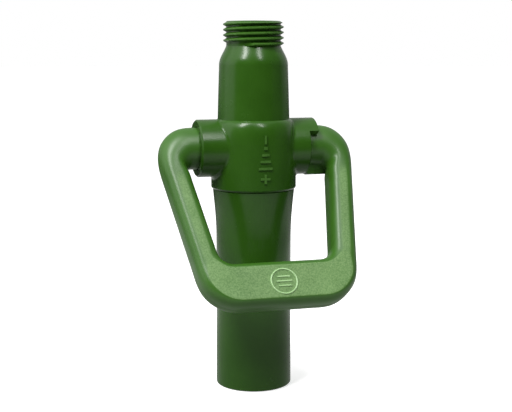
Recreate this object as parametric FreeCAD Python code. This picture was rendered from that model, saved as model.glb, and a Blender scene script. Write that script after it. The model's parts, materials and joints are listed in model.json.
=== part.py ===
"""In-line garden ball valve with a loop lever. Millimetres, +Z along the flow, origin at the inlet mouth."""
import FreeCAD, Part
import math
import os
from FreeCAD import Vector

# Driving dimensions ---------------------------------------------------------------------------------
TRUNNION_Z = 83.7  # height of the lever's axis above the inlet rim
OUTLET_TOP_Z = 126.7  # height of the outlet rim
LEVER_REST_DEG = 36.0  # lever's angle in front of straight down, valve open
LEVER_TRAVEL_DEG = 90.0

# G 1/2 pipe thread, moulded slightly under size
THREAD_PITCH = 1.814
MALE_CREST_R = 10.36
MALE_ROOT_R = 9.32
FEMALE_CREST_R = 9.45
FEMALE_ROOT_R = 10.55
THREAD_CREST_W = 0.36
THREAD_BASE_W = 1.56
THREAD_LEAD_DEG = 1.67
THREAD_START_DEG = -131.0
THREAD_START_Z = TRUNNION_Z + 35.0

# Housing, heights from the trunnion axis
COLLAR_R = 14.72
COLLAR_TOP = 9.8
COLLAR_BOTTOM = -14.1
CAVITY_R = 11.2
BOSS_R = 9.85
BOSS_BEVEL = 0.45
BOSS_FILLET = 1.2
LEFT_BOSS_END = 20.4
RIGHT_BOSS_END = 18.0
STOP_LIP_END = 21.2
RECESS_R = 7.5
RECESS_FLOOR = 17.2
STEM_BORE_R = 4.25
FLANGE_POCKET_R = 5.1
FLANGE_POCKET_X = 12.0
MARK_RELIEF = 0.35
# Raised flow scale, as (height of the middle from the trunnion axis, width, height): a stroke, a dot,
# three bars that grow, and the two strokes of a plus
SCALE_MARKS = (
    (3.7, 0.75, 3.0), (0.85, 1.3, 1.1), (-1.4, 2.6, 0.85), (-3.65, 3.6, 0.85), (-6.0, 4.85, 0.85),
    (-9.5, 3.4, 0.85), (-9.5, 0.85, 3.2),
)

# Outlet and inlet pieces
TUBE_TOP_R = 11.82
TUBE_FOOT_R = 12.38
SPIGOT_R = 11.1
SPIGOT_REACH = 5.3  # how near the spigots' ends come to the trunnion plane
SPIGOT_BORE_R = 8.95
CHAMBER_R = 8.3
OUTLET_BORE_R = 6.9
INLET_NECK_R = 14.15
INLET_TUBE_R = 13.05
INLET_RIM_R = 13.2
SOCKET_DEPTH = 14.0  # female thread and the plain land above it
WASHER_POCKET_R = 10.0  # the pocket above the land that holds the hose washer
WASHER_POCKET_TOP = 16.2
INLET_BORE_R = 7.6
O_RING_GROOVE = 1.3  # depth of the spigots' grooves
O_RING_GROOVE_W = 1.8
OUTLET_GROOVE_Z = TRUNNION_Z + 7.8
INLET_GROOVE_Z = TRUNNION_Z - 9.8

# Ball, seats and stems
BALL_R = 9.4
BALL_BORE_R = 5.0
SLOT_X = 7.4
SLOT_W = 3.1
SEAT_CLEARANCE = 0.1
SEAT_IN_R = 5.4
SEAT_OUT_R = 8.85
SEAT_NEAR = 4.4
SEAT_FAR = 8.6
CARRIER_FAR = 12.0
STEM_R = 4.2
STEM_FLANGE_R = 4.9
STEM_OUTER_X = 26.0
STEM_SQUARE = 6.0
O_RING_R = 0.75

# Lever, in its own plane: u across, v down the loop, w through it towards the rear
HUB_R = 7.15
HUB_END_U = 18.15
ELBOW_R = 11.0
ELBOW_U = 34.0
ARM_TOP_V = 13.0
ARM_TOP_U = 32.84
ARM_SLOPE = 0.1655  # how far the arms close in for each millimetre down the loop
ARM_W = 8.76
BAR_OUTER_V = 60.2
BAR_INNER_V = 44.6
LEVER_HALF_T = 5.75
OUTER_CORNER_R = 13.5
INNER_ELBOW_R = 2.6
INNER_CORNER_R = 5.0
SHELL_WALL = 2.2
EMBLEM_V = 53.3
EMBLEM_R = 4.6
EMBLEM_LINE = 0.6
EMBLEM_BARS = ((-1.6, 4.2), (0.0, 5.2), (1.6, 4.2))  # each bar's height in the mark and its width
SECTION_POINTS = 24  # points round one section of the loop
ARM_HEAD = (11.4, 9.5)  # v of the window edge and of the outer edge where an arm's straight run starts
CORNER_DEG = (99.4, 117.5, 135.7, 153.8, 172.0, 180.0)  # sections round a corner, 90 outwards
ELBOW_SECTIONS = ((25, 18, 7.05, 2.02), (50, 43, 6.7, 2.06), (75, 68, 6.25, 2.12))  # inner and outer angle
ARM_SECTIONS = 10
BAR_SECTIONS = 5
HOLLOW_FROM = 6  # the station at the head of each arm, where the loop becomes hollow
FACE_FROM_V = 11.0  # where the flat front face starts to come out of the round arms
ARM_SQUARENESS = 2.8
BAR_SQUARENESS = 3.0
ARM_FACE_RISE = 0.06  # how far the front would stand above the flat face if it stayed round
BAR_FACE_RISE = 1.0
FACE_SHIFT = 0.8  # how far the bar's front leans towards the outer edge
TAB_R = 10.2
TAB_SPAN_DEG = 69.0
TAB_GAP_DEG = 1.5
TAB_WEB_END = 26.0
TAB_WEB_SPAN_DEG = 45.0
SCREW_R = 1.25
SCREW_HEAD_R = 2.3
SCREW_FLOOR = 2.9  # w of the counterbore floors

UP = Vector(0, 0, 1)
ACROSS = Vector(1, 0, 0)
TRUNNION = Vector(0, 0, TRUNNION_Z)


# Basic solids ---------------------------------------------------------------------------------------
def disc(r, z0, z1):
    """A cylinder on the flow axis between two heights from the inlet rim."""
    return Part.makeCylinder(r, z1 - z0, Vector(0, 0, z0), UP)


def pin(r, x0, x1):
    """A cylinder on the trunnion axis."""
    return Part.makeCylinder(r, x1 - x0, Vector(x0, 0, TRUNNION_Z), ACROSS)


def block(size, centre):
    """A box of the given size about a centre."""
    corner = centre - Vector(*size) * 0.5
    return Part.makeBox(*size, corner)


def turned(profile, z_base=0.0):
    """A solid turned about the flow axis. The profile holds (radius, height) corners joined by straight
    lines, and lists of them, each a smooth curve that carries on from the corner before it."""
    edges = []
    last = None
    for item in profile + profile[:1]:
        stops = [Vector(r, 0, z_base + z) for r, z in (item if isinstance(item, list) else [item])]
        if len(stops) > 1:
            curve = Part.BSplineCurve()
            curve.interpolate([last] + stops)
            edges.append(curve.toShape())
        elif last is not None:
            edges.append(Part.LineSegment(last, stops[0]).toShape())
        last = stops[-1]
    return Part.Face(Part.Wire(edges)).revolve(Vector(0, 0, 0), UP, 360)


def turned_across(profile):
    """A solid turned about the trunnion axis from (x, radius) points."""
    points = [Vector(x, 0, TRUNNION_Z + r) for x, r in profile]
    face = Part.Face(Part.makePolygon(points + points[:1]))
    return face.revolve(TRUNNION, ACROSS, 360)


def tube(r_out, r_in, z0, z1):
    """A plain ring on the flow axis."""
    return disc(r_out, z0, z1).cut(disc(r_in, z0, z1))


def spigot_groove(height):
    """What an O-ring groove takes off a spigot."""
    half_w = O_RING_GROOVE_W / 2
    return tube(SPIGOT_R + 0.5, SPIGOT_R - O_RING_GROOVE, height - half_w, height + half_w)


def sector(r_out, r_in, x0, x1, from_deg, to_deg):
    """Part of a ring about the trunnion axis. 0 degrees is straight ahead (-Y) and 90 is up."""
    start = math.radians(from_deg)
    span = to_deg - from_deg
    foot = Vector(x0, -math.cos(start) * r_in, TRUNNION_Z + math.sin(start) * r_in)
    tip = Vector(x0, -math.cos(start) * r_out, TRUNNION_Z + math.sin(start) * r_out)
    step = ACROSS * (x1 - x0)
    face = Part.Face(Part.makePolygon([foot, tip, tip + step, foot + step, foot]))
    return face.revolve(TRUNNION, ACROSS * -1, span)


def mirrored(shape):
    """The same piece on the other side of the valve."""
    return shape.mirror(Vector(0, 0, 0), ACROSS)


def helical_ridge(base_r, crest_r, start_deg, crest_z, length):
    """A right-hand thread form whose crest passes crest_z at start_deg, from base_r to crest_r."""
    helix = Part.makeHelix(THREAD_PITCH, length, abs(base_r))
    inward = 0.3 if crest_r > base_r else -0.3
    points = [
        Vector(base_r - inward, 0, -THREAD_BASE_W / 2 - 0.12),
        Vector(crest_r, 0, -THREAD_CREST_W / 2),
        Vector(crest_r, 0, THREAD_CREST_W / 2),
        Vector(base_r - inward, 0, THREAD_BASE_W / 2 + 0.12),
    ]
    profile = Part.makePolygon(points + points[:1])
    ridge = Part.Wire(helix).makePipeShell([profile], True, True)
    ridge.rotate(Vector(0, 0, 0), UP, start_deg)
    ridge.translate(Vector(0, 0, crest_z))
    return ridge


# Outlet piece ---------------------------------------------------------------------------------------
def male_thread():
    """The thread's ridge, from its tapered run-out above the shoulder to past the rim."""
    ridge = helical_ridge(MALE_ROOT_R, MALE_CREST_R, THREAD_START_DEG, THREAD_START_Z, 4.75 * THREAD_PITCH)
    chord = Part.makeBox(3, 16, 1.9, Vector(MALE_ROOT_R - 0.02, -8, -1.0))
    chord.rotate(Vector(0, 0, 0), ACROSS, THREAD_LEAD_DEG)
    chord.rotate(Vector(0, 0, 0), UP, THREAD_START_DEG)
    chord.translate(Vector(0, 0, THREAD_START_Z))
    return ridge.cut(chord)


def rim_trim():
    """What the bevelled rim takes off the thread."""
    top = OUTLET_TOP_Z - TRUNNION_Z
    return turned([
        (0, top), (MALE_ROOT_R - 0.25, top), (MALE_CREST_R + 0.2, top - 0.9), (15, top - 0.9),
        (15, top + 3), (0, top + 3),
    ], TRUNNION_Z)


def outlet_neck():
    """Threaded neck, shoulder and upper tube, with the spigot that plugs into the housing."""
    top = OUTLET_TOP_Z - TRUNNION_Z
    outside = turned([
        (0, SPIGOT_REACH), (SPIGOT_R - 0.4, SPIGOT_REACH), (SPIGOT_R, SPIGOT_REACH + 0.5),
        (SPIGOT_R, COLLAR_TOP), (TUBE_FOOT_R, COLLAR_TOP), (TUBE_TOP_R, 28.0),
        [(11.6, 29.7), (10.85, 31.6), (9.95, 33.3), (MALE_ROOT_R, 34.7)], (MALE_ROOT_R, top), (0, top),
    ], TRUNNION_Z)
    groove = spigot_groove(OUTLET_GROOVE_Z)
    inside = turned([
        (0, 0), (SPIGOT_BORE_R, 0), (SPIGOT_BORE_R, CARRIER_FAR + 0.05), (CHAMBER_R, CARRIER_FAR + 0.05),
        (CHAMBER_R, 27.5), (OUTLET_BORE_R, 31.0), (OUTLET_BORE_R, top - 0.4),
        (OUTLET_BORE_R + 0.4, top), (OUTLET_BORE_R + 0.4, top + 1), (0, top + 1),
    ], TRUNNION_Z)
    return outside.fuse(male_thread()).cut([rim_trim(), groove, inside])


# Housing --------------------------------------------------------------------------------------------
def collar():
    """The round middle body with its rounded top and bevelled lower edge."""
    return turned([
        (0, COLLAR_BOTTOM), (14.4, COLLAR_BOTTOM), (COLLAR_R, COLLAR_BOTTOM + 0.55), (COLLAR_R, 2.0),
        [(14.6, 4.8), (14.1, 7.5), (13.3, 9.1), (12.45, COLLAR_TOP)], (0, COLLAR_TOP),
    ], TRUNNION_Z)


def bosses():
    """The two side bosses that carry the lever, the right one with its stop lip."""
    left = turned_across([
        (0, 0), (0, BOSS_R), (BOSS_BEVEL - LEFT_BOSS_END, BOSS_R), (-LEFT_BOSS_END, BOSS_R - BOSS_BEVEL),
        (-LEFT_BOSS_END, 0),
    ])
    right = turned_across([
        (RIGHT_BOSS_END, 0), (RIGHT_BOSS_END, BOSS_R - 0.25), (RIGHT_BOSS_END - 0.25, BOSS_R), (0, BOSS_R),
        (0, 0),
    ])
    lip_from = LEVER_REST_DEG - 90 + LEVER_TRAVEL_DEG
    lip_to = 270 + LEVER_REST_DEG - TAB_SPAN_DEG - 2 * TAB_GAP_DEG
    lip = sector(BOSS_R, RECESS_R, RIGHT_BOSS_END - 0.5, STOP_LIP_END, lip_from, lip_to)
    return left, right, lip


def junction_edges(body):
    """The curved edges where a boss meets the collar."""
    found = []
    for edge in body.Edges:
        box = edge.BoundBox
        beside = box.XMin * box.XMax > 0 and max(-box.XMin, box.XMax) < COLLAR_R + 0.5
        if beside and isinstance(edge.Curve, Part.BSplineCurve):
            found.append(edge)
    return found


def scale_marks():
    """The raised flow scale on the front of the collar."""
    stand = COLLAR_R + MARK_RELIEF
    marks = []
    for height, wide, tall in SCALE_MARKS:
        centre = Vector(0, -stand, TRUNNION_Z + height)
        marks.append(block((wide, 2.4, tall), centre))
    skin = disc(stand, TRUNNION_Z + COLLAR_BOTTOM, TRUNNION_Z + COLLAR_TOP)
    return marks[0].multiFuse(marks[1:]).common(skin)


def valve_housing():
    """Collar, bosses and scale in one moulding, bored for the ball, the spigots and the stems."""
    left, right, lip = bosses()
    body = collar().multiFuse([left, right, lip]).removeSplitter()
    body = body.makeFillet(BOSS_FILLET, junction_edges(body)).fuse(scale_marks())
    cuts = [disc(CAVITY_R, TRUNNION_Z - 20, TRUNNION_Z + 20)]
    cuts.append(disc(TUBE_FOOT_R + 0.05, TRUNNION_Z + COLLAR_TOP, TRUNNION_Z + 20))
    cuts.append(pin(STEM_BORE_R, -30, 30))
    cuts.append(pin(FLANGE_POCKET_R, -FLANGE_POCKET_X, FLANGE_POCKET_X))
    cuts.append(pin(RECESS_R, -LEFT_BOSS_END - 1, -RECESS_FLOOR))
    cuts.append(pin(RECESS_R, RECESS_FLOOR, STOP_LIP_END + 1))
    return body.cut(cuts)


# Inlet piece ----------------------------------------------------------------------------------------
def inlet_tube():
    """Lower tube with the female hose thread at its foot and a spigot at its head."""
    outside = turned([
        (0, 0), (INLET_RIM_R - 0.25, 0), (INLET_RIM_R, 0.3), (INLET_TUBE_R, 25.0), (INLET_TUBE_R, 52.0),
        [(13.11, 56.4), (13.33, 60.5), (13.74, 65.2), (INLET_NECK_R, 69.25)],
        (INLET_NECK_R - 0.35, 69.6), (SPIGOT_R, 69.6),
        (SPIGOT_R, TRUNNION_Z - SPIGOT_REACH - 0.5),
        (SPIGOT_R - 0.4, TRUNNION_Z - SPIGOT_REACH), (0, TRUNNION_Z - SPIGOT_REACH),
    ])
    groove = spigot_groove(INLET_GROOVE_Z)
    carrier_floor = TRUNNION_Z - CARRIER_FAR - 0.05
    inside = turned([
        (0, -1), (FEMALE_CREST_R + 0.4, -1), (FEMALE_CREST_R + 0.4, 0), (FEMALE_CREST_R, 0.4),
        (FEMALE_CREST_R, 10.0), (FEMALE_ROOT_R, 10.0), (FEMALE_ROOT_R, 11.4), (FEMALE_CREST_R, 11.4),
        (FEMALE_CREST_R, SOCKET_DEPTH), (WASHER_POCKET_R, SOCKET_DEPTH),
        (WASHER_POCKET_R, WASHER_POCKET_TOP), (INLET_BORE_R, WASHER_POCKET_TOP), (INLET_BORE_R, 20.0),
        (CHAMBER_R, 23.0),
        (CHAMBER_R, carrier_floor), (SPIGOT_BORE_R, carrier_floor), (SPIGOT_BORE_R, TRUNNION_Z),
        (0, TRUNNION_Z),
    ])
    thread = helical_ridge(FEMALE_CREST_R, FEMALE_ROOT_R, 0.0, -1.4, 6.8 * THREAD_PITCH)
    thread = thread.common(disc(FEMALE_ROOT_R + 1, -2.0, 10.8))
    return outside.cut([groove, inside]).cut(thread)


# Inner pieces ---------------------------------------------------------------------------------------
def ball():
    """Bored ball with a drive slot across each side."""
    body = Part.makeSphere(BALL_R, TRUNNION, UP, -90, 90, 360)
    slot_depth = BALL_R - SLOT_X + 1
    cuts = [disc(BALL_BORE_R, TRUNNION_Z - BALL_R, TRUNNION_Z + BALL_R)]
    for side in (-1, 1):
        centre = Vector(side * (SLOT_X + slot_depth / 2), 0, TRUNNION_Z)
        cuts.append(block((slot_depth, SLOT_W, 2 * BALL_R), centre))
    return body.cut(cuts)


def seat(way):
    """Low-friction seat ring above (way 1) or below (way -1) the ball."""
    ring = turned([
        (SEAT_IN_R, way * SEAT_NEAR), (SEAT_OUT_R - 0.3, way * SEAT_NEAR),
        (SEAT_OUT_R, way * (SEAT_NEAR + 0.3)), (SEAT_OUT_R, way * SEAT_FAR), (SEAT_IN_R, way * SEAT_FAR),
    ], TRUNNION_Z)
    return ring.cut(Part.makeSphere(BALL_R + SEAT_CLEARANCE, TRUNNION, UP, -90, 90, 360))


def seat_carrier(way):
    """Rigid ring behind a seat, grooved for the O-ring that presses the seat on the ball."""
    near = SEAT_FAR + 0.05
    return turned([
        (5.6, way * near), (6.6, way * near), (6.6, way * (near + 1.45)), (8.2, way * (near + 1.45)),
        (8.2, way * near), (SEAT_OUT_R, way * near), (SEAT_OUT_R, way * CARRIER_FAR),
        (6.0, way * CARRIER_FAR), (5.6, way * (CARRIER_FAR - 0.4)),
    ], TRUNNION_Z)


def seat_o_ring(way):
    """Energising O-ring in the carrier's groove."""
    height = TRUNNION_Z + way * (SEAT_FAR + 0.02 + O_RING_R)
    return Part.makeTorus(7.4, O_RING_R - 0.05, Vector(0, 0, height), UP)


def joint_o_ring(height):
    """O-ring on a spigot, sealing it in the housing."""
    return Part.makeTorus(SPIGOT_R - 0.65, 0.62, Vector(0, 0, height), UP)


def stem():
    """Left or right stem: tongue, retaining flange, grooved shaft and square end, on the right side."""
    groove_r = STEM_R - 1.5
    outline = [(10.4, 0), (10.4, STEM_FLANGE_R), (11.9, STEM_FLANGE_R), (11.9, STEM_R)]
    for start in (12.6, 14.9):
        outline += [(start, STEM_R), (start, groove_r), (start + 1.7, groove_r), (start + 1.7, STEM_R)]
    outline += [(STEM_OUTER_X - 0.5, STEM_R), (STEM_OUTER_X, STEM_R - 0.5), (STEM_OUTER_X, 0)]
    shaft = turned_across(outline)
    flats = block((30, STEM_SQUARE, STEM_SQUARE), Vector(HUB_END_U - 0.1 + 15, 0, TRUNNION_Z))
    flats.rotate(TRUNNION, ACROSS, -LEVER_REST_DEG)
    keep = pin(STEM_FLANGE_R + 1, 0, HUB_END_U - 0.1).fuse(flats)
    tongue = block((3.2, SLOT_W - 0.1, 6.4), Vector(SLOT_X + 0.15 + 1.6, 0, TRUNNION_Z))
    return shaft.common(keep).fuse(tongue)


def stem_o_rings():
    """The two O-rings on a stem."""
    places = [Vector(x, 0, TRUNNION_Z) for x in (13.45, 15.75)]
    return [Part.makeTorus(STEM_R - O_RING_R, O_RING_R, place, ACROSS) for place in places]


def thrust_washer():
    """Flat washer between the lever's hub and the floor of its recess."""
    top = RECESS_FLOOR + 0.8
    return pin(7.3, RECESS_FLOOR, top).cut(pin(STEM_R + 0.15, RECESS_FLOOR, top))


def inlet_washer():
    """Flat hose washer in its pocket above the female thread."""
    low = SOCKET_DEPTH + 0.1
    rim_r = WASHER_POCKET_R - 0.1
    return turned([
        (6.6, low), (rim_r - 0.25, low), (rim_r, low + 0.25), (rim_r, WASHER_POCKET_TOP - 0.25),
        (rim_r - 0.25, WASHER_POCKET_TOP), (6.6, WASHER_POCKET_TOP),
    ])


# Lever ----------------------------------------------------------------------------------------------
def arm_edge(v):
    """Outer edge of the right arm at v."""
    return ARM_TOP_U - ARM_SLOPE * (v - ARM_TOP_V)


def on_arc(centre, radius, degrees):
    """A point on an arc, 0 degrees up the loop and 90 outwards."""
    angle = math.radians(degrees)
    return Vector(centre[0] + radius * math.sin(angle), centre[1] - radius * math.cos(angle), 0)


def eased(value, low, high):
    return min(1.0, max(0.0, (value - low) / (high - low)))


def straight_run(inner, outer):
    """A section of an arm or the bar: its front stays flat and grows fuller towards the bar."""
    v = (inner.y + outer.y) / 2
    bar = eased(v, 38.0, 50.0)
    rise = ARM_FACE_RISE * eased(v, 11.0, 18.0) + (BAR_FACE_RISE - ARM_FACE_RISE) * bar
    squareness = ARM_SQUARENESS + (BAR_SQUARENESS - ARM_SQUARENESS) * bar
    return inner, outer, LEVER_HALF_T, LEVER_HALF_T + rise, squareness, FACE_SHIFT * bar


def stations():
    """Sections of the right half: edges, rear and front half thickness, squareness and front lean."""
    inner_elbow = (arm_edge(HUB_R) - ARM_W - INNER_ELBOW_R, HUB_R + INNER_ELBOW_R)
    outer_elbow = (ELBOW_U - ELBOW_R, ELBOW_R - HUB_R)
    rows = [
        (Vector(HUB_END_U, HUB_R, 0), Vector(HUB_END_U, -HUB_R, 0), HUB_R, HUB_R, 2.0, 0),
        (Vector(19.9, HUB_R, 0), Vector(20.4, -HUB_R, 0), HUB_R, HUB_R, 2.0, 0),
        (on_arc(inner_elbow, INNER_ELBOW_R, 0), Vector(22.2, -HUB_R, 0), HUB_R, HUB_R, 2.0, 0),
    ]
    for inner_deg, outer_deg, half_t, squareness in ELBOW_SECTIONS:
        inner = on_arc(inner_elbow, INNER_ELBOW_R, inner_deg)
        outer = on_arc(outer_elbow, ELBOW_R, outer_deg)
        rows.append((inner, outer, half_t, half_t, squareness, 0))
    lean = math.hypot(1, ARM_SLOPE)
    inner_foot = BAR_INNER_V - INNER_CORNER_R
    outer_foot = BAR_OUTER_V - OUTER_CORNER_R
    inner_corner = (arm_edge(inner_foot) - ARM_W - INNER_CORNER_R * lean, inner_foot)
    outer_corner = (arm_edge(outer_foot) - OUTER_CORNER_R * lean, outer_foot)
    corner = [
        (on_arc(inner_corner, INNER_CORNER_R, degrees), on_arc(outer_corner, OUTER_CORNER_R, degrees))
        for degrees in CORNER_DEG
    ]
    inner_head, outer_head = ARM_HEAD
    head = (Vector(arm_edge(inner_head) - ARM_W, inner_head, 0), Vector(arm_edge(outer_head), outer_head, 0))
    middle = (Vector(0, BAR_INNER_V, 0), Vector(0, BAR_OUTER_V, 0))
    edges = spread(head, corner[0], ARM_SECTIONS) + corner[:-1] + spread(corner[-1], middle, BAR_SECTIONS)
    return rows + [straight_run(inner, outer) for inner, outer in edges + [middle]]


def spread(first, last, count):
    """Evenly spaced (window edge, outer edge) pairs from first up to last, without last."""
    return [
        tuple(a + (b - a) * (step / count) for a, b in zip(first, last))
        for step in range(count)
    ]


def section(inner, outer, rear_t, front_t, squareness, lean, inset):
    """Points round one section of the loop, a rounded rectangle drawn in by inset, fuller at the front."""
    middle = (inner + outer) * 0.5
    way = (outer - inner).normalize()
    half_w = (outer - inner).Length / 2 - inset
    power = 2 / squareness
    points = []
    for i in range(SECTION_POINTS):
        angle = 2 * math.pi * i / SECTION_POINTS
        across = math.copysign(abs(math.cos(angle)) ** power, math.cos(angle))
        through = math.copysign(abs(math.sin(angle)) ** power, math.sin(angle))
        thick = (rear_t if through > 0 else front_t) - inset
        shift = lean * max(0, -through)
        points.append(middle + way * (half_w * across + shift) + UP * (thick * through))
    return points + points[:1]


def loop(first=0, inset=0.0):
    """The whole loop as one smooth skin through its sections, closed at both ends."""
    right = [section(*row, inset) for row in stations()[first:]]
    left = [[Vector(-point.x, point.y, point.z) for point in points] for points in reversed(right[:-1])]
    skin = Part.BSplineSurface()
    skin.interpolate(right + left)
    start, end = skin.bounds()[:2]
    caps = [Part.Face(Part.Wire(skin.uIso(u).toShape())) for u in (start, end)]
    closed = Part.makeCompound([skin.toShape()] + caps)
    closed.sewShape()
    solid = Part.Solid(closed.Shells[0])
    if solid.Volume < 0:
        solid.reverse()
    return solid


def screw_places():
    """Where the screws sit, as (u, v): both elbows, both lower arms and the bar."""
    right = [(28.6, 2.0), (25.1, 33.0), (8.0, 52.4)]
    return right + [(-u, v) for u, v in right]


def column(r, place, w0, w1):
    """A cylinder through the lever at (u, v)."""
    return Part.makeCylinder(r, w1 - w0, Vector(place[0], place[1], w0), UP)


def placed(shape):
    """Moves a shape from the lever's own plane to its place on the valve, open position."""
    shape.rotate(Vector(0, 0, 0), ACROSS, 270 - LEVER_REST_DEG)
    shape.translate(TRUNNION)
    return shape


def lever_halves():
    """The front and rear halves of the loop, hollow in the arms and bar, with square stem sockets."""
    solid = loop()
    hollow = loop(HOLLOW_FROM, SHELL_WALL)
    posts = [column(2.9, place, -LEVER_HALF_T, LEVER_HALF_T) for place in screw_places()]
    hollow = hollow.cut(posts)
    socket_w = STEM_SQUARE + 0.1
    sockets = block((2 * (STEM_OUTER_X + 0.2), socket_w, socket_w), Vector(0, 0, 0))
    face = Part.makeBox(80, 60, 10, Vector(-40, FACE_FROM_V, -LEVER_HALF_T - 10))
    body = solid.cut([hollow, sockets, face])
    front = body.common(Part.makeBox(80, 80, 20, Vector(-40, -12, -20)))
    rear = body.common(Part.makeBox(80, 80, 20, Vector(-40, -12, 0)))
    return front, rear


def emblem():
    """Plain round mark on the front of the bar: a ring round three short bars."""
    tall = MARK_RELIEF + 0.5
    middle = Vector(0, EMBLEM_V, -LEVER_HALF_T - MARK_RELIEF)
    ring = Part.makeCylinder(EMBLEM_R, tall, middle, UP)
    ring = ring.cut(Part.makeCylinder(EMBLEM_R - EMBLEM_LINE, tall, middle, UP))
    bars = [block((width, EMBLEM_LINE, tall), middle + Vector(0, v, tall / 2)) for v, width in EMBLEM_BARS]
    return ring.multiFuse(bars)


def handle_front_shell():
    """Front half of the lever with blind screw holes and the raised mark."""
    front, _ = lever_halves()
    front = front.fuse(emblem())
    holes = [column(SCREW_R + 0.03, place, -3.6, 0) for place in screw_places()]
    return placed(front.cut(holes))


def stop_tab():
    """The lever's stop, a ring sector in the gap of the right boss's lip, and its web to the arm."""
    finish = -90 + LEVER_REST_DEG - TAB_GAP_DEG
    start = finish - TAB_SPAN_DEG
    tab = sector(TAB_R, HUB_R - 1.0, RIGHT_BOSS_END + 0.35, STOP_LIP_END - 0.1, start, finish)
    web_start = finish - TAB_WEB_SPAN_DEG
    return tab.fuse(sector(TAB_R, HUB_R - 1.0, STOP_LIP_END - 0.3, TAB_WEB_END, web_start, finish))


def handle_rear_shell():
    """Rear half of the lever with screw counterbores and the stop tab."""
    _, rear = lever_halves()
    holes = []
    for place in screw_places():
        holes.append(column(SCREW_R + 0.2, place, -1, 8))
        holes.append(column(SCREW_HEAD_R + 0.2, place, SCREW_FLOOR, 8))
    socket_w = STEM_SQUARE + 0.1
    tab = stop_tab()
    socket = block((60, socket_w, socket_w), TRUNNION)
    socket.rotate(TRUNNION, ACROSS, -LEVER_REST_DEG)
    return placed(rear.cut(holes)).fuse(tab.cut(socket))


def handle_screws():
    """Six cross-recessed screws that tie the two halves together from behind."""
    screws = []
    for place in screw_places():
        shank = column(SCREW_R, place, -3.4, SCREW_FLOOR + 0.1)
        head = column(SCREW_HEAD_R, place, SCREW_FLOOR + 0.05, SCREW_FLOOR + 1.6)
        at = Vector(place[0], place[1], SCREW_FLOOR + 1.4)
        cross = block((2.8, 0.6, 1.2), at).fuse(block((0.6, 2.8, 1.2), at))
        screws.append(placed(shank.fuse(head).cut(cross)))
    return screws


# Output ---------------------------------------------------------------------------------------------
def save(name, shapes):
    """Writes one node, one file, of one or more solids."""
    shapes = shapes if isinstance(shapes, list) else [shapes]
    solids = [solid for shape in shapes for solid in shape.Solids]
    result = solids[0] if len(solids) == 1 else Part.makeCompound(solids)
    result.exportStep(f"parts/{name}.step")
    box = result.optimalBoundingBox()
    print(f"{name}: {len(solids)} solids, {result.Volume:.0f} mm3, valid {result.isValid()}, "
          f"z {box.ZMin:.2f} to {box.ZMax:.2f}")


def main():
    os.makedirs("parts", exist_ok=True)
    save("valve_housing", valve_housing())
    save("outlet_neck", outlet_neck())
    save("inlet_tube", inlet_tube())
    save("ball", ball())
    for way, end in ((1, "outlet"), (-1, "inlet")):
        save(f"{end}_seat", seat(way))
        save(f"{end}_seat_carrier", seat_carrier(way))
        save(f"{end}_seat_o_ring", seat_o_ring(way))
    save("outlet_joint_o_ring", joint_o_ring(OUTLET_GROOVE_Z))
    save("inlet_joint_o_ring", joint_o_ring(INLET_GROOVE_Z))
    save("inlet_washer", inlet_washer())
    save("right_stem", stem())
    save("right_stem_o_rings", stem_o_rings())
    save("right_thrust_washer", thrust_washer())
    save("left_stem", mirrored(stem()))
    save("left_stem_o_rings", [mirrored(ring) for ring in stem_o_rings()])
    save("left_thrust_washer", mirrored(thrust_washer()))
    save("handle_front_shell", handle_front_shell())
    save("handle_rear_shell", handle_rear_shell())
    save("handle_screws", handle_screws())


main()
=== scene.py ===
"""Looks of the in-line garden ball valve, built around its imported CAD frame. Metres, +Z along the flow."""
import json
import math

import bmesh
import bpy
import numpy as np
from mathutils import Matrix, Vector


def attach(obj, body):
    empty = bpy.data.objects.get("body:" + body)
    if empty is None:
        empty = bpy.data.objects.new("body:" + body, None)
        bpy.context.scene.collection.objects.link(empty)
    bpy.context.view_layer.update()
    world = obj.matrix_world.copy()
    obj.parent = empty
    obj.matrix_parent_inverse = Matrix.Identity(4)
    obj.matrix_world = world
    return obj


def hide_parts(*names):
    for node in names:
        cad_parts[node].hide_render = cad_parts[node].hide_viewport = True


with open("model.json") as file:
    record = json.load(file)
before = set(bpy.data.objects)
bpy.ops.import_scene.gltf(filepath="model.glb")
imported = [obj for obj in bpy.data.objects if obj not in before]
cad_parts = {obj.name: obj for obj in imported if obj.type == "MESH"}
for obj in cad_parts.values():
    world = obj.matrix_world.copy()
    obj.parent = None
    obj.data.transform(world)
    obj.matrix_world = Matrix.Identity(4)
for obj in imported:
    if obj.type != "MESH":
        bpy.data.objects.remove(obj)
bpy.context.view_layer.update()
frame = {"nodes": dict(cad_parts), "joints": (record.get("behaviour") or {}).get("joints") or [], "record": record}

MM = 0.001
nodes = frame["nodes"]

# The lever's joint and its own plane: u across, v down the loop, w through it towards the rear
TRUNNION = Vector(frame["joints"][0]["pos_m"])
REST = math.radians(36.0)
DOWN_LOOP = Vector((0, -math.sin(REST), -math.cos(REST)))
REARWARD = Vector((0, math.cos(REST), -math.sin(REST)))

# Camera -----------------------------------------------------------------------------------------------
CAMERA_TURN = math.radians(16.0)
CAMERA_TILT = math.radians(8.56)
UNIT = 0.0003465  # metres across one pixel at the trunnion
FOCAL_PX = 1065.0
IMAGE_W = 512
AIM_PX = (-2.5, 59.0)  # where the trunnion stands in the image, from its middle


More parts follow.
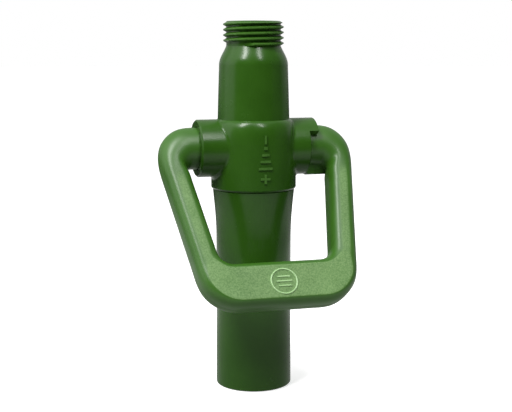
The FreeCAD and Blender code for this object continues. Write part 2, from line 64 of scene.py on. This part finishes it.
def add_camera():
    """A view a little from the left and from above."""
    forward = Vector((math.sin(CAMERA_TURN) * math.cos(CAMERA_TILT),
                      math.cos(CAMERA_TURN) * math.cos(CAMERA_TILT), -math.sin(CAMERA_TILT)))
    right = Vector((math.cos(CAMERA_TURN), -math.sin(CAMERA_TURN), 0))
    up = right.cross(forward)
    data = bpy.data.cameras.new("camera")
    data.sensor_width = 36.0
    data.lens = FOCAL_PX / IMAGE_W * data.sensor_width
    data.clip_start = 0.01
    camera = bpy.data.objects.new("camera", data)
    place = TRUNNION - UNIT * (AIM_PX[0] * right + AIM_PX[1] * up + FOCAL_PX * forward)
    turn = Matrix((right, up, -forward)).transposed().to_4x4()
    camera.matrix_world = Matrix.Translation(place) @ turn
    bpy.context.scene.collection.objects.link(camera)
    bpy.context.scene.camera = camera


# Stage ------------------------------------------------------------------------------------------------
class Graph:
    """Short calls for building a node tree."""

    def __init__(self, tree):
        self.tree = tree

    def add(self, kind, **sockets):
        node = self.tree.nodes.new(kind)
        for key, value in sockets.items():
            if hasattr(node, key):
                setattr(node, key, value)
        return node

    def feed(self, node, socket, value):
        """Sets an input by name or number, from a constant or another node's output."""
        target = node.inputs[socket]
        if isinstance(value, bpy.types.NodeSocket):
            self.tree.links.new(value, target)
        else:
            target.default_value = value

    def math(self, operation, a, b=None, c=None, clamp=False):
        node = self.add("ShaderNodeMath", operation=operation, use_clamp=clamp)
        for number, value in enumerate((a, b, c)):
            if value is not None:
                self.feed(node, number, value)
        return node.outputs[0]

    def dot(self, vector, constant):
        node = self.add("ShaderNodeVectorMath", operation="DOT_PRODUCT")
        self.feed(node, 0, vector)
        self.feed(node, 1, tuple(constant))
        return node.outputs["Value"]

    def ramp(self, value, low, high, to_low=0.0, to_high=1.0):
        node = self.add("ShaderNodeMapRange", interpolation_type="SMOOTHSTEP")
        self.feed(node, 0, value)
        for number, limit in enumerate((low, high, to_low, to_high), 1):
            self.feed(node, number, limit)
        return node.outputs[0]

    def mask(self, value, limits):
        """Rises from 0 at the first limit to 1 at the second, both in millimetres."""
        return self.ramp(value, limits[0] * MM, limits[1] * MM)

    def noise(self, vector, scale, detail=2.0, roughness=0.5):
        node = self.add("ShaderNodeTexNoise")
        self.feed(node, "Vector", vector)
        self.feed(node, "Scale", scale)
        self.feed(node, "Detail", detail)
        self.feed(node, "Roughness", roughness)
        return node.outputs["Fac"]

    def blend(self, factor, a, b):
        node = self.add("ShaderNodeMix", data_type="RGBA")
        self.feed(node, 0, factor)
        self.feed(node, 6, a)
        self.feed(node, 7, b)
        return node.outputs[2]


# Radiance of each part of the studio as the valve sees it
FRONT_LIGHT = 0.02
LEFT_LIGHT = 1.6
RIGHT_LIGHT = 0.17
REAR_LIGHT = 0.55
CEILING_LIGHT = 0.65
NEAR_FLOOR_LIGHT = 0.42
FLOOR_LIGHT = 0.78
SEEN_FLOOR_LIGHT = 0.62  # the floor's own glow as the camera sees it
POOL_NEAR = (0.06, 0.14)  # metres from the valve's axis, from the near light to the full light
POOL_END = (0.26, 0.34)  # and from the full light to none
SOFTBOX_REACH = 0.9  # from the trunnion to a softbox, metres
FLOOR_R = 6
FLOOR_SIDES = 64
FLOOR_Z = -0.00015  # just under the valve's foot


def studio_light():
    """White cove: bright left wall, ceiling and rear, and a dark front round the camera."""
    world = bpy.data.worlds.new("studio")
    bpy.context.scene.world = world
    world.use_nodes = True
    tree = world.node_tree
    tree.nodes.clear()
    g = Graph(tree)
    way = g.add("ShaderNodeTexCoord").outputs["Generated"]
    height = g.dot(way, (0, 0, 1))
    front = g.dot(way, (-math.sin(CAMERA_TURN), -math.cos(CAMERA_TURN), 0))
    across = g.dot(way, (math.cos(CAMERA_TURN), -math.sin(CAMERA_TURN), 0))
    wall = g.ramp(across, -0.12, 0.12, LEFT_LIGHT, RIGHT_LIGHT)
    level = g.math("MULTIPLY", wall, g.ramp(front, 0.38, 0.50, 1.0, FRONT_LIGHT))
    rear = g.ramp(front, -0.36, -0.24, 1.0, 0.0)
    level = g.math("MULTIPLY_ADD", rear, g.math("SUBTRACT", REAR_LIGHT, level), level)
    ceiling = g.ramp(height, 0.79, 0.84)
    level = g.math("MULTIPLY_ADD", ceiling, g.math("SUBTRACT", CEILING_LIGHT, level), level)
    seen = g.add("ShaderNodeLightPath").outputs["Is Camera Ray"]
    strength = g.math("ADD", g.math("MULTIPLY", level, g.math("SUBTRACT", 1.0, seen)), seen)
    shade = g.add("ShaderNodeBackground")
    g.feed(shade, "Color", (1, 1, 1, 1))
    g.feed(shade, "Strength", strength)
    out = g.add("ShaderNodeOutputWorld")
    g.feed(out, "Surface", shade.outputs[0])


def softbox(name, turn, rise, width, height, power):
    """A soft light aimed at the valve, turned to the left of the camera and raised above it, in degrees."""
    turn, rise = math.radians(turn) + CAMERA_TURN, math.radians(rise)
    way = Vector((-math.sin(turn) * math.cos(rise), -math.cos(turn) * math.cos(rise), math.sin(rise)))
    data = bpy.data.lights.new(name, "AREA")
    data.shape = "RECTANGLE"
    data.size = width
    data.size_y = height
    data.energy = power
    light = bpy.data.objects.new(name, data)
    light.location = TRUNNION + way * SOFTBOX_REACH
    light.rotation_euler = way.to_track_quat("Z", "Y").to_euler()
    bpy.context.scene.collection.objects.link(light)


def add_floor():
    """A plain pale floor under the valve."""
    mesh = bpy.data.meshes.new("floor")
    turn = np.linspace(0, 2 * math.pi, FLOOR_SIDES, False)
    ring = [(FLOOR_R * math.cos(a), FLOOR_R * math.sin(a), FLOOR_Z) for a in turn]
    mesh.from_pydata(ring, [], [list(range(FLOOR_SIDES))])
    floor = bpy.data.objects.new("floor", mesh)
    bpy.context.scene.collection.objects.link(floor)
    material = bpy.data.materials.new("floor_white")
    material.use_nodes = True
    tree = material.node_tree
    tree.nodes.clear()
    g = Graph(tree)
    seen = g.add("ShaderNodeLightPath").outputs["Is Camera Ray"]
    shade = g.add("ShaderNodeBsdfDiffuse")
    g.feed(shade, "Color", g.blend(seen, (0.04, 0.04, 0.04, 1), (0.75, 0.75, 0.75, 1)))
    reach = g.add("ShaderNodeVectorMath", operation="LENGTH")
    g.feed(reach, 0, g.add("ShaderNodeTexCoord").outputs["Object"])
    reach = reach.outputs["Value"]
    pool = g.ramp(reach, *POOL_NEAR, NEAR_FLOOR_LIGHT, FLOOR_LIGHT)
    pool = g.math("MULTIPLY", pool, g.ramp(reach, *POOL_END, 1.0, 0.0))
    glow = g.add("ShaderNodeEmission")
    g.feed(glow, "Color", (1, 1, 1, 1))
    unseen = g.math("SUBTRACT", 1.0, seen)
    g.feed(glow, "Strength", g.math("MULTIPLY_ADD", pool, unseen, g.math("MULTIPLY", seen, SEEN_FLOOR_LIGHT)))
    both = g.add("ShaderNodeAddShader")
    g.feed(both, 0, shade.outputs[0])
    g.feed(both, 1, glow.outputs[0])
    out = g.add("ShaderNodeOutputMaterial")
    g.feed(out, "Surface", both.outputs[0])
    mesh.materials.append(material)


# Materials --------------------------------------------------------------------------------------------
BODY_DARK = (0.021, 0.076, 0.005, 1)
BODY_LIGHT = (0.027, 0.092, 0.007, 1)
# Paler green painted on the raised scale and the thread's crests as a painted highlight
BODY_PAINTED_HIGHLIGHT = (0.07, 0.175, 0.032, 1)
LEVER_DARK = (0.030, 0.108, 0.007, 1)
LEVER_LIGHT = (0.038, 0.128, 0.010, 1)
# Pale grey-green on the lever's flat face: its speckled grain, partly a painted sheen from the lights above
GRAIN_AND_SHEEN_LIGHT = (0.26, 0.42, 0.16, 1)
# Pale greens painted on the mark's raised lines, a painted highlight on their tops
MARK_HIGHLIGHT_LOW = (0.27, 0.45, 0.19, 1)
MARK_HIGHLIGHT_HIGH = (0.36, 0.55, 0.27, 1)

# Where the painted highlight on the raised parts and the lever's face with its grain and painted sheen lie, in
# millimetres, each from where a mask is 0 to where it is 1
SCALE_R = (14.80, 15.02)
SCALE_HALF_W = (5, 3)
SCALE_Y = (-12, -13)
CREST_R = (9.75, 10.3)
CREST_Z = (117.5, 118.5)
FACE_DEPTH_IN = (5.60, 5.72)  # in front of the lever's middle plane
FACE_DEPTH_OUT = (5.85, 5.80)
FACE_DOWN = (9, 15)  # down the loop


def new_material(name):
    """An empty node material, with its shader and the object's own coordinates."""
    material = bpy.data.materials.new(name)
    material.use_nodes = True
    tree = material.node_tree
    tree.nodes.clear()
    g = Graph(tree)
    shade = g.add("ShaderNodeBsdfPrincipled")
    out = g.add("ShaderNodeOutputMaterial")
    g.feed(out, "Surface", shade.outputs[0])
    return material, g, shade, g.add("ShaderNodeTexCoord").outputs["Object"]


def bump(g, height, distance, strength=1.0, under=None):
    node = g.add("ShaderNodeBump")
    g.feed(node, "Strength", strength)
    g.feed(node, "Distance", distance)
    g.feed(node, "Height", height)
    if under is not None:
        g.feed(node, "Normal", under)
    return node.outputs[0]


def raised_parts(g, at):
    """Where the raised scale and the thread's crests stand out of the body, which get a painted highlight."""
    split = g.add("ShaderNodeSeparateXYZ")
    g.feed(split, 0, at)
    x, y, height = split.outputs
    radius = g.math("SQRT", g.math("ADD", g.math("MULTIPLY", x, x), g.math("MULTIPLY", y, y)))
    scale = g.math("MULTIPLY", g.mask(radius, SCALE_R), g.mask(g.math("ABSOLUTE", x), SCALE_HALF_W))
    scale = g.math("MULTIPLY", scale, g.mask(y, SCALE_Y))
    crest = g.math("MULTIPLY", g.mask(radius, CREST_R), g.mask(height, CREST_Z))
    return g.math("MAXIMUM", scale, crest)


def grain_and_sheen_face(g, at):
    """Where the lever's flat front face lies, which has a real grain and a painted sheen."""
    local = g.add("ShaderNodeVectorMath", operation="SUBTRACT")
    g.feed(local, 0, at)
    g.feed(local, 1, tuple(TRUNNION))
    local = local.outputs[0]
    depth = g.dot(local, -REARWARD)
    down = g.dot(local, DOWN_LOOP)
    face = g.math("MULTIPLY", g.mask(depth, FACE_DEPTH_IN), g.mask(depth, FACE_DEPTH_OUT))
    return g.math("MULTIPLY", face, g.mask(down, FACE_DOWN))


def moulded(name, dark, light, roughness, mirror, grain_and_sheen=False, raised_highlight=False):
    """Moulded plastic: faint flow marks in the colour, uneven gloss and a slight orange peel."""
    material, g, shade, at = new_material(name)
    flow = g.noise(at, 60.0, 3.0, 0.55)
    fine = g.noise(at, 900.0, 2.0, 0.6)
    colour = g.blend(g.ramp(flow, 0.3, 0.7), dark, light)
    gloss = g.math("MULTIPLY_ADD", g.noise(at, 220.0, 3.0, 0.6), 0.12, roughness - 0.06)
    peel = g.math("MULTIPLY_ADD", g.noise(at, 320.0, 2.0, 0.5), 0.7, g.math("MULTIPLY", fine, 0.12))
    normal = bump(g, peel, 0.00006, 0.35)
    if raised_highlight:
        # Painted highlight: the raised scale and the thread's crests are painted paler, patchily
        highlight_mask = g.math("MULTIPLY", raised_parts(g, at), g.ramp(fine, 0.2, 0.8, 0.45, 0.8))
        colour = g.blend(highlight_mask, colour, BODY_PAINTED_HIGHLIGHT)
    if grain_and_sheen:
        face = grain_and_sheen_face(g, at)
        speck = g.noise(at, 1900.0, 3.0, 0.6)
        face_patches = g.noise(at, 130.0, 2.0, 0.5)
        # The flat face is painted paler in speckled patches: real grain, and partly a painted sheen
        pale = g.math("MULTIPLY_ADD", face_patches, 0.3, g.ramp(speck, 0.3, 0.7, 0.0, 0.3))
        colour = g.blend(g.math("MULTIPLY", face, pale), colour, GRAIN_AND_SHEEN_LIGHT)
        gloss = g.math("MULTIPLY_ADD", face, 0.16, gloss)
        normal = bump(g, g.math("MULTIPLY", speck, face), 0.00010, 0.45, normal)
    g.feed(shade, "Base Color", colour)
    g.feed(shade, "Roughness", gloss)
    g.feed(shade, "Normal", normal)
    g.feed(shade, "Specular IOR Level", mirror)
    return material


def rubber():
    """Black moulded rubber with a matt, finely pitted skin."""
    material, g, shade, at = new_material("seal_rubber")
    pits = g.noise(at, 1400.0, 3.0, 0.7)
    g.feed(shade, "Base Color", g.blend(pits, (0.012, 0.012, 0.012, 1), (0.03, 0.03, 0.031, 1)))
    g.feed(shade, "Roughness", g.math("MULTIPLY_ADD", pits, 0.2, 0.5))
    g.feed(shade, "Normal", bump(g, pits, 0.00005, 0.5))
    return material


def acetal(name, dark, light, roughness):
    """Turned or moulded engineering plastic with fine tool marks round the flow axis."""
    material, g, shade, at = new_material(name)
    cloud = g.noise(at, 150.0, 3.0, 0.5)
    marks = g.add("ShaderNodeTexWave", wave_type="BANDS", bands_direction="Z")
    g.feed(marks, "Vector", at)
    g.feed(marks, "Scale", 900.0)
    g.feed(marks, "Distortion", 1.5)
    g.feed(shade, "Base Color", g.blend(cloud, dark, light))
    g.feed(shade, "Roughness", g.math("MULTIPLY_ADD", cloud, 0.14, roughness))
    g.feed(shade, "Normal", bump(g, marks.outputs["Fac"], 0.00001, 0.4))
    return material


def steel():
    """Stainless screw steel with fine scratches."""
    material, g, shade, at = new_material("screw_steel")
    scratch = g.noise(at, 1800.0, 4.0, 0.7)
    g.feed(shade, "Base Color", g.blend(scratch, (0.48, 0.48, 0.49, 1), (0.66, 0.66, 0.67, 1)))
    g.feed(shade, "Metallic", 1.0)
    g.feed(shade, "Roughness", g.math("MULTIPLY_ADD", scratch, 0.25, 0.22))
    g.feed(shade, "Normal", bump(g, scratch, 0.00002, 0.4))
    return material


def paint_nodes():
    """Gives each CAD node its finish."""
    body = moulded("body_plastic", BODY_DARK, BODY_LIGHT, 0.25, 0.3, raised_highlight=True)
    lever = moulded("lever_plastic", LEVER_DARK, LEVER_LIGHT, 0.40, 0.5, grain_and_sheen=True)
    finishes = {
        "body_plastic": body,
        "lever_plastic": lever,
        "ball_plastic": acetal("ball_plastic", (0.72, 0.72, 0.69, 1), (0.82, 0.82, 0.8, 1), 0.16),
        "stem_plastic": acetal("stem_plastic", (0.02, 0.02, 0.021, 1), (0.045, 0.045, 0.046, 1), 0.35),
        "seat_plastic": acetal("seat_plastic", (0.78, 0.78, 0.76, 1), (0.86, 0.86, 0.85, 1), 0.42),
        "carrier_plastic": acetal("carrier_plastic", (0.33, 0.33, 0.32, 1), (0.45, 0.45, 0.43, 1), 0.42),
        "seal_rubber": rubber(),
        "screw_steel": steel(),
    }
    for row in frame["record"]["subparts"]:
        nodes[row["node"]].data.materials[0] = finishes[row["material_slot"]]
    return finishes


# Lever ------------------------------------------------------------------------------------------------
# Sizes of the lever in millimetres, in its own plane
HUB_R = 7.15
HUB_END_U = 18.15
ELBOW_R = 11.0
ELBOW_U = 34.0
ARM_TOP_V = 13.0
ARM_TOP_U = 32.84
ARM_SLOPE = 0.1655
ARM_W = 8.76
ARM_HEAD = (11.4, 9.5)
BAR_INNER_V = 44.6
BAR_OUTER_V = 60.2
HALF_T = 5.75
OUTER_CORNER_R = 13.5
INNER_ELBOW_R = 2.6
INNER_CORNER_R = 5.0
ARM_SQUARENESS = 2.8
BAR_SQUARENESS = 3.0
ARM_FACE_RISE = 0.06  # how far the front would stand above the flat face if it stayed round
BAR_FACE_RISE = 1.0
FACE_SHIFT = 0.8  # how far the bar's front leans towards the outer edge
FACE_FROM_V = 11.0  # where the flat front face starts
FACE_FULL_V = 18.0  # where the front stands its full rise above it
CREASE = 0.10  # how softly the flat face meets the rounded edge
PARTING = 0.035  # half the gap between the two halves
ELBOW_SECTIONS = (  # turn at the inner and outer edge in degrees, half thickness, squareness
    (25, 18, 7.05, 2.02),
    (50, 43, 6.7, 2.06),
    (75, 68, 6.25, 2.12),
)
CORNER_TURNS = (99.4, 117.5, 135.7, 153.8, 172.0, 180.0)
CORNER_BLEND = (0.0, 0.32, 0.61, 0.84, 0.97)  # from the arm's section to the bar's
SCREWS = ((28.6, 2.0), (25.1, 33.0), (8.0, 52.4), (-28.6, 2.0), (-25.1, 33.0), (-8.0, 52.4))
HEAD_HOLE_R = 2.5
HEAD_HOLE_FLOOR = 2.9
HEAD_HOLE_TOP = 12.0
TAB_INNER_R = 6.15
TAB_OUTER_R = 10.2
TAB_EASE = 0.3
TAB_EASE_MID = 0.09  # how far the middle of the eased edge lies inside the corner
# x from and to, first and last degree about the trunnion, and how far the front end slants back
STOP_TAB = (18.35, 21.1, -124.5, -55.5, 14)
TAB_WEB = (20.6, 26.0, -100.5, -55.5, 19.5)
MARK_V = 53.3
MARK_RING_R = 4.3
MARK_BARS = ((-1.6, 4.2), (0.0, 5.2), (1.6, 4.2))  # v from the ring's middle, length
MARK_LINE_W = 0.6
MARK_LINE_RISE = 0.33
MARK_LINE_FULLNESS = 0.6  # 1 would be a round top, less is fuller
MARK_SINK = 0.02  # how far the lines start below the face
MARK_ROOT = 0.5  # how deep they are rooted in it
MARK_SHARP_DEG = 50
SHARP_DEG = 35
ARM_SECTIONS = 10
BAR_SECTIONS = 5
STEPS_ALONG = 300
STEPS_AROUND = 60
OUTLINE_STEPS = 721  # fine steps round a half section, before they are thinned to STEPS_AROUND
BEND_SHARE = 0.5  # how much more the thinned steps crowd where the outline bends
BEND_LIMIT = 0.2


def arm_edge(v):
    """Outer edge of the right arm at v."""
    return ARM_TOP_U - ARM_SLOPE * (v - ARM_TOP_V)


def on_arc(centre, radius, degrees):
    angle = math.radians(degrees)
    return centre[0] + radius * math.sin(angle), centre[1] - radius * math.cos(angle)


def spread(first, last, count):
    """Evenly spaced steps from first up to last, without last."""
    first, last = np.array(first), np.array(last)
    return [tuple(first + (last - first) * step / count) for step in range(count)]


def eased(value, low, high):
    return min(1.0, max(0.0, (value - low) / (high - low)))


def lever_stations():
    """Sections from hub to hub: inner u, v, outer u, v, rear and front half thickness, squareness, lean."""
    inner_elbow = (arm_edge(HUB_R) - ARM_W - INNER_ELBOW_R, HUB_R + INNER_ELBOW_R)
    outer_elbow = (ELBOW_U - ELBOW_R, ELBOW_R - HUB_R)
    rows = [
        (HUB_END_U, HUB_R, HUB_END_U, -HUB_R, HUB_R, HUB_R, 2.0, 0),
        (19.9, HUB_R, 20.4, -HUB_R, HUB_R, HUB_R, 2.0, 0),
        (*on_arc(inner_elbow, INNER_ELBOW_R, 0), 22.2, -HUB_R, HUB_R, HUB_R, 2.0, 0),
    ]
    for inner_turn, outer_turn, half_t, squareness in ELBOW_SECTIONS:
        inner = on_arc(inner_elbow, INNER_ELBOW_R, inner_turn)
        outer = on_arc(outer_elbow, ELBOW_R, outer_turn)
        rows.append((*inner, *outer, half_t, half_t, squareness, 0))
    lean = math.hypot(1, ARM_SLOPE)
    inner_foot, outer_foot = BAR_INNER_V - INNER_CORNER_R, BAR_OUTER_V - OUTER_CORNER_R
    inner_corner = (arm_edge(inner_foot) - ARM_W - INNER_CORNER_R * lean, inner_foot)
    outer_corner = (arm_edge(outer_foot) - OUTER_CORNER_R * lean, outer_foot)
    corner = [(*on_arc(inner_corner, INNER_CORNER_R, turn), *on_arc(outer_corner, OUTER_CORNER_R, turn))
              for turn in CORNER_TURNS]
    head = (arm_edge(ARM_HEAD[0]) - ARM_W, ARM_HEAD[0], arm_edge(ARM_HEAD[1]), ARM_HEAD[1])
    middle = (0.0, BAR_INNER_V, 0.0, BAR_OUTER_V)
    run = [(edge, 0.0) for edge in spread(head, corner[0], ARM_SECTIONS)]
    run += list(zip(corner[:-1], CORNER_BLEND))
    run += [(edge, 1.0) for edge in spread(corner[-1], middle, BAR_SECTIONS) + [middle]]
    for edge, bar in run:
        rise = ARM_FACE_RISE * eased((edge[1] + edge[3]) / 2, FACE_FROM_V, FACE_FULL_V)
        front_t = HALF_T + rise + (BAR_FACE_RISE - ARM_FACE_RISE) * bar
        squareness = ARM_SQUARENESS + (BAR_SQUARENESS - ARM_SQUARENESS) * bar
        rows.append((*edge, HALF_T, front_t, squareness, FACE_SHIFT * bar))
    rows = np.array(rows)
    return np.vstack([rows, rows[-2::-1] * np.array([-1, 1, -1, 1, 1, 1, 1, 1])])


def smooth_through(rows, count):
    """Even steps along a natural cubic spline through the rows."""
    steps = np.linalg.norm(np.diff((rows[:, 0:2] + rows[:, 2:4]) / 2, axis=0), axis=1)
    at = np.concatenate([[0], np.cumsum(steps)])
    gap = np.diff(at)[:, None]
    slope = np.diff(rows, axis=0) / gap
    size = len(rows)
    system = np.eye(size)
    right = np.zeros_like(rows)
    for i in range(1, size - 1):
        system[i, i - 1:i + 2] = (gap[i - 1, 0], 2 * (gap[i - 1, 0] + gap[i, 0]), gap[i, 0])
        right[i] = 6 * (slope[i] - slope[i - 1])
    bend = np.linalg.solve(system, right)
    where = np.linspace(0, at[-1], count)
    k = np.clip(np.searchsorted(at, where, side="right") - 1, 0, size - 2)
    h = gap[k]
    t = (where - at[k])[:, None]
    return (rows[k] + t * (slope[k] - h * (2 * bend[k] + bend[k + 1]) / 6)
            + t ** 2 * bend[k] / 2 + t ** 3 * (bend[k + 1] - bend[k]) / (6 * h))


def half_profile(half_w, thick, squareness, lean, flat):
    """One half's outline from outer to inner edge, as (across, depth), softly cut by the flat face."""
    angle = np.linspace(0, math.pi, OUTLINE_STEPS)
    power = 2 / squareness
    across = half_w * np.sign(np.cos(angle)) * np.abs(np.cos(angle)) ** power
    depth = thick * np.abs(np.sin(angle)) ** power
    across = across + lean * depth / thick
    if flat:
        over = (depth - HALF_T) / CREASE
        depth = depth - CREASE * np.logaddexp(0, over)
    depth = np.maximum(depth, PARTING)
    run = np.hypot(np.diff(across), np.diff(depth))
    heading = np.unwrap(np.arctan2(np.diff(depth), np.diff(across)))
    bend = np.concatenate([[0], np.abs(np.diff(heading))])
    share = run / run.sum() + BEND_SHARE * np.minimum(bend, BEND_LIMIT) / math.pi
    weight = np.concatenate([[0], np.cumsum(share)])
    where = np.linspace(0, weight[-1], STEPS_AROUND)
    return np.stack([np.interp(where, weight, across), np.interp(where, weight, depth)], 1)


def lever_point(u, v, w):
    """A point of the lever's own plane in the valve's frame, in metres."""
    return TRUNNION + MM * (Vector((u, 0, 0)) + DOWN_LOOP * float(v) + REARWARD * float(w))


def lever_half(name, side):
    """Front (side -1) or rear (side 1) half of the loop, a closed skin along its sections."""
    rings = []
    for row in smooth_through(lever_stations(), STEPS_ALONG):
        inner, outer = row[0:2], row[2:4]
        rear_t, front_t, squareness, lean = row[4:8]
        middle, way = (inner + outer) / 2, outer - inner
        half_w = np.linalg.norm(way) / 2
        way = way / (2 * half_w)
        if side < 0:
            profile = half_profile(half_w, front_t, squareness, lean, middle[1] > FACE_FROM_V)
        else:
            profile = half_profile(half_w, rear_t, squareness, 0.0, False)
        lid = [(across, PARTING) for across in np.linspace(profile[-1][0], profile[0][0], 8)[1:-1]]
        ring = []
        for across, depth in list(profile) + lid:
            u, v = middle + way * across
            ring.append(lever_point(u, v, side * depth))
        rings.append(ring)
    return skin(name, rings)


def skin(name, rings, closed=False):
    """A mesh through rings of points, with flat ends unless it closes on itself."""
    mesh = bmesh.new()
    verts = [[mesh.verts.new(point) for point in ring] for ring in rings]
    size = len(verts[0])
    pairs = list(zip(verts, verts[1:])) + ([(verts[-1], verts[0])] if closed else [])
    for first, second in pairs:
        for i in range(size):
            j = (i + 1) % size
            mesh.faces.new((first[i], first[j], second[j], second[i]))
    if not closed:
        mesh.faces.new(verts[0][::-1])
        mesh.faces.new(verts[-1])
    return finish_mesh(name, mesh)


def finish_mesh(name, mesh, sharp=SHARP_DEG):
    """Makes an object of a bmesh, with faces outwards and smooth shading up to the sharp angle."""
    bmesh.ops.recalc_face_normals(mesh, faces=mesh.faces)
    data = bpy.data.meshes.new(name)
    mesh.to_mesh(data)
    mesh.free()
    data.shade_smooth()
    data.set_sharp_from_angle(angle=math.radians(sharp))
    piece = bpy.data.objects.new(name, data)
    bpy.context.scene.collection.objects.link(piece)
    return piece


def combine(piece, cutters, operation):
    """Cuts or joins solids into a piece and drops them."""
    for cutter in cutters:
        modifier = piece.modifiers.new("solid", "BOOLEAN")
        modifier.operation = operation
        modifier.solver = "EXACT"
        modifier.object = cutter
    bpy.context.view_layer.update()
    done = bpy.data.meshes.new_from_object(piece.evaluated_get(bpy.context.evaluated_depsgraph_get()))
    piece.modifiers.clear()
    piece.data = done
    done.shade_smooth()
    done.set_sharp_from_angle(angle=math.radians(SHARP_DEG))
    for cutter in cutters:
        bpy.data.objects.remove(cutter)


def head_hole(place, steps=48):
    """The round hole for a screw's head, from its floor out through the rear of the lever."""
    ends = []
    mesh = bmesh.new()
    for w in (HEAD_HOLE_FLOOR, HEAD_HOLE_TOP):
        ends.append([mesh.verts.new(lever_point(place[0] + HEAD_HOLE_R * math.cos(angle),
                                                place[1] + HEAD_HOLE_R * math.sin(angle), w))
                     for angle in np.linspace(0, 2 * math.pi, steps, False)])
    floor, top = ends
    for i in range(steps):
        j = (i + 1) % steps
        mesh.faces.new((floor[i], top[i], top[j], floor[j]))
    mesh.faces.new(floor)
    mesh.faces.new(top)
    return finish_mesh("head_hole", mesh)


def tab_part(x_low, x_high, first, last, slant):
    """A ring sector about the trunnion axis with an eased outer edge and a slanted front end."""
    outline = [
        (x_low, TAB_INNER_R), (x_low, TAB_OUTER_R - TAB_EASE),
        (x_low + TAB_EASE_MID, TAB_OUTER_R - TAB_EASE_MID), (x_low + TAB_EASE, TAB_OUTER_R),
        (x_high, TAB_OUTER_R), (x_high, TAB_INNER_R),
    ]
    rings = []
    for part in np.linspace(0, 1, 24):
        ring = []
        for x, r in outline:
            end = last - slant * (r - TAB_INNER_R) / (TAB_OUTER_R - TAB_INNER_R)
            angle = math.radians(first + (end - first) * part)
            ring.append(TRUNNION + MM * Vector((x, -math.cos(angle) * r, math.sin(angle) * r)))
        rings.append(ring)
    return skin("stop_tab", rings)


def ridge(name, path, width, height, closed):
    """A raised moulded line on the lever's front face along (u, v) points, with a rounded top."""
    path = np.array(path)
    ahead = np.roll(path, -1, 0) - path
    behind = path - np.roll(path, 1, 0)
    if not closed:
        ahead[-1], behind[0] = behind[-1], ahead[0]
    along = ahead / np.linalg.norm(ahead, axis=1)[:, None] + behind / np.linalg.norm(behind, axis=1)[:, None]
    along /= np.linalg.norm(along, axis=1)[:, None]
    rings = []
    for (u, v), (du, dv) in zip(path, along):
        ring = []
        for turn in np.linspace(0, math.pi, 9):
            off = width / 2 * math.cos(turn)
            rise = height * math.sin(turn) ** MARK_LINE_FULLNESS
            ring.append(lever_point(u - dv * off, v + du * off, -HALF_T + MARK_SINK - rise))
        ring += [lever_point(u + dv * off, v - du * off, -HALF_T + MARK_ROOT)
                 for off in (width / 2, -width / 2)]
        rings.append(ring)
    return skin(name, rings, closed)


def lever_mark():
    """The plain round mark on the bar: a ring round three short bars."""
    ring = [(MARK_RING_R * math.cos(a), MARK_V + MARK_RING_R * math.sin(a))
            for a in np.linspace(0, 2 * math.pi, 96, False)]
    lines = [ridge("line", ring, MARK_LINE_W, MARK_LINE_RISE, True)]
    for v, length in MARK_BARS:
        path = [(u, MARK_V + v) for u in np.linspace(-length / 2, length / 2, 12)]
        lines.append(ridge("line", path, MARK_LINE_W, MARK_LINE_RISE, False))
    whole = bmesh.new()
    for line in lines:
        whole.from_mesh(line.data)
        bpy.data.objects.remove(line)
    return finish_mesh("lever_mark", whole, MARK_SHARP_DEG)


def build_lever(material):
    """The two halves of the lever in place of their CAD nodes, and the mark on the bar."""
    front = lever_half("lever_front_half", -1)
    rear = lever_half("lever_rear_half", 1)
    combine(rear, [tab_part(*STOP_TAB), tab_part(*TAB_WEB)], "UNION")
    combine(rear, [head_hole(place) for place in SCREWS], "DIFFERENCE")
    mark = lever_mark()
    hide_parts("handle_front_shell")
    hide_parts("handle_rear_shell")
    # The mark's lines are painted pale, a painted highlight on their tops
    pale = moulded("mark_plastic_painted_highlight", MARK_HIGHLIGHT_LOW, MARK_HIGHLIGHT_HIGH, 0.26, 0.5)
    for piece, finish in ((front, material), (rear, material), (mark, pale)):
        piece.data.materials.clear()
        piece.data.materials.append(finish)
        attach(piece, "lever")


bpy.context.scene.view_settings.view_transform = "Standard"
add_camera()
studio_light()
softbox("key_left", 40, 55, 0.16, 0.50, 8.2)
softbox("key_right", -28, 53, 0.10, 0.44, 3.6)
add_floor()
finishes = paint_nodes()
build_lever(finishes["lever_plastic"])
